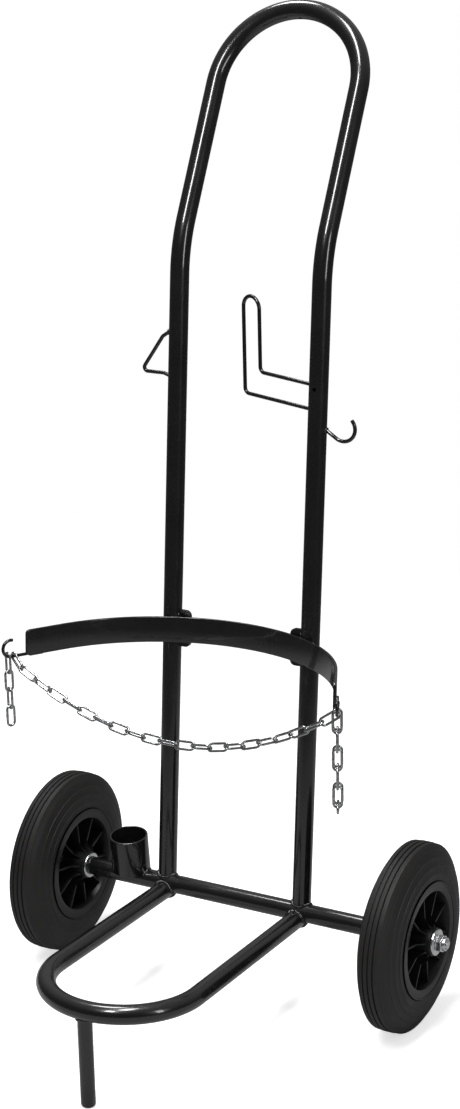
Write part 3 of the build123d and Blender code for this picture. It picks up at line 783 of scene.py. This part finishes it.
# %% Mould rings
tree = rubber.node_tree
grain_bump = next(node for node in tree.nodes if node.type == "BUMP")
place = add_node(tree, "ShaderNodeTexCoord").outputs["Object"]
from_axle = vector_math(tree, "SUBTRACT", place, axle * mm)["Vector"]
flat_part = vector_math(tree, "MULTIPLY", from_axle, y_way + z_way)["Vector"]
apart = add_node(tree, "ShaderNodeSeparateXYZ")
link(tree, place, apart.inputs["Vector"])
joined = add_node(tree, "ShaderNodeCombineXYZ")
link(tree, apart.outputs["X"], joined.inputs["X"])
link(tree, vector_math(tree, "LENGTH", flat_part)["Value"], joined.inputs["Y"])
mould = add_node(tree, "ShaderNodeTexNoise", Scale=420, Detail=2, Roughness=0.6)
link(tree, joined.outputs["Vector"], mould.inputs["Vector"])
rings = add_node(tree, "ShaderNodeBump", Strength=1.0, Distance=0.5 * mm)
link(tree, mould.outputs["Fac"], rings.inputs["Height"])
link(tree, rings.outputs["Normal"], grain_bump.inputs["Normal"])
print("mould rings on", rubber.name)

# %% [markdown]
# The rim is one plastic moulding: a drum that carries the tyre, a thin web, a hub, and ten ribs on each side
# that stiffen the web. The drum, web and hub are one profile. A rib is a thin tapered plate, so it is a small
# grid of its own: its outline at both faces, shrunk a little at the edge to round it.

# %% Rims
rim_profile = both_halves([(0, 57.5), (18.6, 57.5), (19.2, 57.9), (22.4, 61.5), (22.9, 61.9), (23.1, 61.4),
                           (22.9, 60.8), (22.3, 60.4), (22.3, 52.6), (22.0, 51.9), (21.2, 51.4), (3.0, 49.6),
                           (1.8, 49.2), (1.5, 48.2), (1.5, 17.6), (1.8, 16.4), (3.0, 15.6), (28.6, 15.0),
                           (29.2, 14.6), (29.3, 14.0), (29.3, 12.5)])
rib_line = np.array(((1.0, 14.0), (25.5, 14.0), (25.8, 14.4), (25.2, 15.4), (19.6, 22.6), (18.9, 24.6),
                     (18.9, 50.9), (18.5, 51.8), (1.0, 51.0)))
rib_half, rib_edge, rib_shrink = 0.9, 0.75, 0.015
rib_count, first_rib, rib_step = 10, -6, 36
rib_middle = np.broadcast_to(rib_line.mean(axis=0), rib_line.shape)
rib_inner = rib_line * (1 - rib_shrink) + rib_middle * rib_shrink
rib_plan = np.stack((rib_middle, rib_inner, rib_line, rib_line, rib_inner, rib_middle))
rib_sides = np.array((rib_half, rib_half, rib_edge, -rib_edge, -rib_half, -rib_half))


def rib_rows(side, face, degrees):
    """A rib's rows: middle + distance * face + radius * outward + half thickness * sideways."""
    outward = np.array((0, np.sin(np.radians(degrees)), np.cos(np.radians(degrees))))
    return (wheel_middles[side] + rib_plan[..., 0, None] * x_way * face + rib_plan[..., 1, None] * outward
            + rib_sides[:, None, None] * np.cross(x_way, outward)), False, True


rib_angles = first_rib + rib_step * np.arange(rib_count)
for side, name in ((-1, "left"), (1, "right")):
    ribs = [rib_rows(side, face, angle) for face in (1, -1) for angle in rib_angles]
    rim = make_piece(f"rim_moulding_{name}", f"wheel_{name}", plastic,
                     [spin(rim_profile, side, 128), *ribs], sharp=32)
    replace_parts(rim, *[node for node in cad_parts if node.startswith("rim_") and node.endswith(name)])

# %% [markdown]
# The bushes inside the hubs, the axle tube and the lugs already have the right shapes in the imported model,
# so they are kept as they are and only get their finishes.

# %% Finishes for kept nodes
def dress(node, finish):
    """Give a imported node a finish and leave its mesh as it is."""
    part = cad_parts[node]
    part.data.materials.clear()
    part.data.materials.append(finish)
    print("dressed", node)


for node in ("axle_tube", "band_lug_left", "band_lug_right"):
    dress(node, paint)
for node in ("hub_bush_left", "hub_bush_right"):
    dress(node, nylon)

# %% [markdown]
# A wheel runs between two washers: a ring on the axle tube stops it on the inside, and one on the stud holds
# it on the outside. Stamping rounds a washer's edge on one side more than on the other. It is turned like
# the wheel, which gives that edge in one line.

# %% Washers
hub_half, play = 29.3, 0.3
washer_thick, washer_radius, stud_bore = 2.5, 14.0, 5.05
tube_ends = {side: axle + x_way * side * (half_track + hub_half + play) for side in (-1, 1)}


def washer(start, way, bore):
    """A ring from its bore to its rounded edge, its flat side at the start."""
    line = ((bore, 0), (washer_radius - 0.3, 0), (washer_radius, 0.3), (washer_radius, washer_thick - 0.9),
            (washer_radius - 0.3, washer_thick - 0.3), (washer_radius - 1.0, washer_thick),
            (bore + 0.3, washer_thick), (bore, washer_thick - 0.3))
    return turned(line, start, way, y_way, z_way, 72), True, True


def zinc_pair(name, grids, node):
    """One zinc object for a left and a right fitting, in place of their node."""
    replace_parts(make_piece(name, "frame", zinc, grids, sharp=30), node)


zinc_pair("end_washer_pair", [washer(tube_ends[side], x_way * side, stud_bore) for side in (-1, 1)],
          "end_washers")
zinc_pair("stop_ring_pair", [washer(axle + x_way * side * (half_track - hub_half - play), -x_way * side,
                                    tube_radius) for side in (-1, 1)], "stop_rings")

# %% [markdown]
# A lock nut is a hexagon with a round collar. Its skin is the smaller of a hexagon and a cone, which gives
# the curved bevels at its corners that a Bevel modifier can't. The hexagon is half the width over flats
# divided by the cosine of the angle from the nearest flat.

# %% Lock nuts
nut_height, nut_half, nut_points = 7.0, 8.5, 96
cone_foot, cone_slope, bevel_height, bore_share = 8.1, 1.75, 1.2, 0.6
collar_line = ((7.0, nut_height), (7.2, nut_height), (7.2, 9.2), (6.9, 9.8), (6.4, 10.0), (5.6, 10.0),
               (5.1, 9.6), (5.1, nut_height))


def round_skin(radii_at, heights, start, way, count):
    """Rings whose radius depends on angle and height, set along the axle outwards from a start."""
    a = np.linspace(0, 2 * np.pi, count, endpoint=False)
    ring = np.cos(a)[:, None] * y_way + np.sin(a)[:, None] * z_way
    radii = radii_at(a[None, :], heights[:, None])
    return start + heights[:, None, None] * way + radii[..., None] * ring


def hexagon(a, z):
    """The smaller of the hexagon at an angle and the cones that close in on both ends."""
    flat = nut_half / np.cos((a + np.pi / 6) % (np.pi / 3) - np.pi / 6)
    return np.minimum(flat, cone_foot + cone_slope * np.minimum(z, nut_height - z))


bevel_steps = np.linspace(0, bevel_height, 7)
nut_heights = np.concatenate(([0], bevel_steps, nut_height - bevel_steps[::-1]))
nuts = []
for side in (-1, 1):
    way = x_way * side
    nut_start = tube_ends[side] + way * washer_thick
    sides = round_skin(hexagon, nut_heights, nut_start, way, nut_points)
    sides[0] = nut_start + (sides[0] - nut_start) * bore_share
    collar = turned(collar_line, nut_start, way, y_way, z_way, nut_points)
    nuts.append((np.vstack((sides, collar)), True, True))
zinc_pair("lock_nut_pair", nuts, "lock_nuts")

# %% [markdown]
# The stud's thread is a ridge that climbs one pitch a turn. A Screw modifier could wind it, but its ends
# would stay open, while here the plug inside the tube, the thread and the tip are one closed skin.

# %% Axle studs
thread_pitch, thread_crest, thread_slope = 1.5, 4.97, 0.9
plug_line = ((0, -25.0), (7.4, -25.0), (8.0, -24.4), (8.0, 0.0), (4.6, 0.0))
tip_line = ((4.6, 13.6), (4.0, 14.3), (3.6, 14.5), (0, 14.5))
thread_heights = np.arange(0, 13.2, 0.15)


def thread(a, z):
    """The crest less a slope times the distance from it, with z / pitch - a / a full turn as the phase."""
    phase = (z / thread_pitch - a / (2 * np.pi)) % 1.0
    return thread_crest - thread_slope * np.abs(phase - 0.5)


studs = []
for side in (-1, 1):
    way, start = x_way * side, tube_ends[side]
    plug, tip = (turned(line, start, way, y_way, z_way, 40) for line in (plug_line, tip_line))
    studs.append((np.vstack((plug, round_skin(thread, thread_heights, start, way, 40), tip)), False, True))
zinc_pair("axle_stud_pair", studs, "axle_studs")

# %% [markdown]
# A chain link is round wire bent to a long ring and welded shut. A stretched torus would have oval ends, so
# its line is a stadium: two straight sides and two half circles. The wire is a circle carried along that
# line, with a slight swelling at the weld in the middle of one side.

# %% One link
link_wire, link_inside, link_bore, pitch = 2.6, 19.7, 5.8, 19.4
weld_swell, weld_reach = 0.12, 1.3
bend = (link_bore + link_wire) / 2
straight = (link_inside - link_bore) / 2
turn_right = arc(x_way * straight, x_way, y_way, bend, -90, 90, 15)
side_run = np.linspace((straight, bend, 0), (-straight, bend, 0), 12)[1:-1]
half_line = np.vstack((turn_right, side_run))
link_line = np.vstack((half_line, half_line * (-1, -1, 1)))
ahead = unit(np.roll(link_line, -1, axis=0) - np.roll(link_line, 1, axis=0))
sideways = np.cross(ahead, z_way)
a = np.linspace(0, 2 * np.pi, 14, endpoint=False)[None, :, None]
swell = 1 + weld_swell * np.exp(-((link_line[:, 0] / weld_reach) ** 2)) * (link_line[:, 1] > 0)
round_wire = link_wire / 2 * swell[:, None, None] * (np.cos(a) * sideways[:, None] + np.sin(a) * z_way)
link_rows = link_line[:, None] + round_wire
print("one link", link_rows.shape[0] * link_rows.shape[1], "points")

# %% [markdown]
# The chain hangs in three parts. Each link spans two points of contact a pitch apart, with its width along a
# chosen way. An Array modifier along a curve would bend the links, so each one is placed whole. Rings sit
# round the hooks' wire, which climbs once it is past the straight part.

# %% Links on the hooks
def placed(start, end, width_way):
    """A link's rows from start to end, its width nearest to a given way."""
    along = unit(end - start)
    flat = unit(np.cross(along, width_way))
    width = np.cross(flat, along)
    middle = (start + end) / 2
    return (middle + link_rows[..., 0, None] * along + link_rows[..., 1, None] * width
            + link_rows[..., 2, None] * flat), True, True


def level_ways(side):
    """The level way of a hook, and the level way from it towards the trolley's middle."""
    along = unit(band_ways[side] * (1, 1, 0))
    return along, np.array((along[1], -along[0], 0)) * side


def ring_ends(side, station, degrees):
    """A ring's two contacts and its width: it pulls away from the wire at an angle below level."""
    _, inward = level_ways(side)
    climb = np.arcsin(max(0, station - curl_reach) / curl_radius)
    rise = curl_radius * (1 - np.cos(climb))
    seat = hook_roots[side] + band_ways[side] * station + band_up * rise
    angle = np.radians(degrees)
    way = inward * np.cos(angle) - z_way * np.sin(angle)
    slope = (climb + np.arcsin(band_ways[side][2])) * np.sin(angle)
    start = seat - way * (hook_radius / np.cos(slope) + link_wire / 2 * np.tan(slope))
    return start, start + way * pitch, inward * np.sin(angle) + z_way * np.cos(angle)


swag_station, tip_station, root_station = 13.0, 20.0, 6.5
swag_fall, plumb = 32.0, 90.0
swag_ring = {side: ring_ends(side, swag_station, swag_fall) for side in (-1, 1)}
tail_ring = ring_ends(-1, tip_station, plumb)
bundle_rings = [ring_ends(1, station, plumb) for station in (tip_station, root_station)]
rings = [placed(*ring) for ring in (swag_ring[-1], swag_ring[1], tail_ring, *bundle_rings)]
print("rings on the hooks", len(rings))

# %% [markdown]
# Between the two hooks the links follow a chain's own curve, where the slope's tangent grows evenly from
# link to link. Its scale is found by halving, until the links span the hooks. Neighbouring links lie a
# quarter turn apart. The end ones start square to their rings and drift to an even slant, so that in the
# middle of the swag each link shows half of its width.

# %% Swag
swag_count, first_rolls, slant = 19, (103, 24, -56), 45
span = (swag_ring[1][1] - swag_ring[-1][1])[0] / pitch
flat, steep = 0.0, 1.0
order = np.arange(swag_count) - (swag_count - 1) / 2
for _ in range(40):
    middle = (flat + steep) / 2
    flat, steep = (middle, steep) if np.cos(np.arctan(middle * order)).sum() > span else (flat, middle)
slopes = np.arctan(middle * order)
hops = np.stack((np.cos(slopes), 0 * slopes, np.sin(slopes)), axis=-1) * pitch
joints = swag_ring[-1][1] + np.vstack((0 * x_way, np.cumsum(hops, axis=0)))
swag_links = []
for k, slope in enumerate(slopes):
    from_end = min(k, swag_count - 1 - k)
    even_roll = slant if from_end % 2 else -slant
    roll = np.radians(first_rolls[from_end] if from_end < len(first_rolls) else even_roll)
    width = np.array((-np.sin(slope) * np.cos(roll), -np.sin(roll), np.cos(slope) * np.cos(roll)))
    swag_links.append(placed(joints[k], joints[k + 1], width))
print("steepest swag link", np.degrees(slopes[-1]).round(1), "degrees")

# %% [markdown]
# The loose ends hang plumb, each link a quarter turn from the last: one strand on the left hook, and two on
# the right that a link lying across them joins at the bottom. Simulated chain would fall much the same way,
# but these places are known, and they stay clear of each other.

# %% Hanging chain
tail_count, strand_count, link_gap = 3, 4, 0.3


def strand(top, side, count):
    """Links straight down from a point, the k-th from top - k * pitch, each a quarter turn from the last."""
    widths = level_ways(side)
    return [placed(top - z_way * pitch * k, top - z_way * pitch * (k + 1), widths[k % 2]) for k in range(count)]


below_strand = pitch * strand_count + (link_inside - pitch + link_wire) / 2
rods = [ring[1] - z_way * below_strand for ring in bundle_rings]
rod_way = unit(rods[0] - rods[1])
rod_up = np.cross(rod_way, level_ways(1)[1])
rod_up = rod_up * np.sign(rod_up[2])
lying = (rods[0] + rods[1]) / 2 - rod_up * (link_bore / 2 - link_wire / 2 - link_gap)
bundle = [grid for ring in bundle_rings for grid in strand(ring[1], 1, strand_count)]
bundle.append(placed(lying - rod_way * pitch / 2, lying + rod_way * pitch / 2, rod_up))
tail = strand(tail_ring[1], -1, tail_count)
for name, body, links, node in (("hook_ring_links", "frame", rings, "hook_links"),
                                ("swag_links", "chain_swag", swag_links, "chain_swag"),
                                ("tail_links", "chain_tail_left", tail, "chain_tail_left"),
                                ("bundle_links", "chain_bundle_right", bundle, "chain_bundle_right")):
    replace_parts(make_piece(name, body, chain_zinc, links, sharp=80), node)

# %% [markdown]
# The last cell brings every object's place up to date.

# %% Update
bpy.context.view_layer.update()
